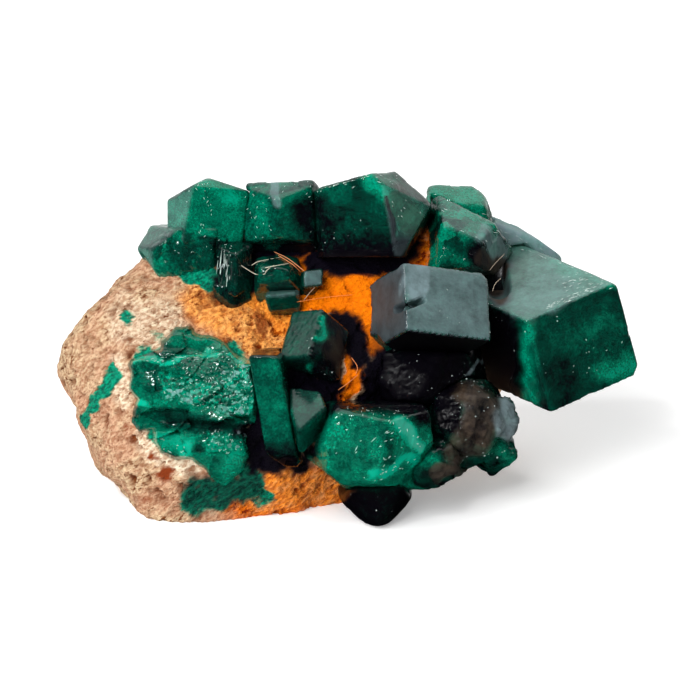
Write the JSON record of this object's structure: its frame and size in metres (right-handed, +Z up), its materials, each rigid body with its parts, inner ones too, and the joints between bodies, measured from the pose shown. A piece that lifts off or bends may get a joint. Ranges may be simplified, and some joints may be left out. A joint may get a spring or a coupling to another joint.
{
  "type": "dioptase specimen",
  "caption": "Emerald-green dioptase crystals, blocky and glassy, grown over a lump of sandy iron-stained rock that rests on a flat base.",
  "frame": {"origin": "middle of the bottom of the specimen's bounding box, on the plane it rests on", "axes": "+X to the right along the longest side as displayed, +Z up, the displayed side faces -Y"},
  "size_m": [0.0396, 0.0234, 0.0219],
  "materials": {
    "rock": "rough, sandy",
    "dioptase": "glassy crystal faces"
  },
  "bodies": {
    "root": {"matrix": "rock", "back_right_crystal": "dioptase", "bottom_crystal": "dioptase", "centre_crystal": "dioptase", "dark_crystal": "dioptase", "foot_crystal": "dioptase", "lower_centre_crystals": "dioptase", "lower_left_crystals": "dioptase", "lower_right_crystals": "dioptase", "right_crystal": "dioptase", "right_rear_crystal": "dioptase", "slab_crystal": "dioptase", "small_crystal_cube": "dioptase", "small_crystal_left": "dioptase", "small_crystal_low": "dioptase", "striated_crystal": "dioptase", "top_crystal": "dioptase", "top_left_crystals": "dioptase", "top_middle_crystal": "dioptase", "top_right_crystal": "dioptase", "wedge_crystal": "dioptase"}
  },
  "joints": []
}
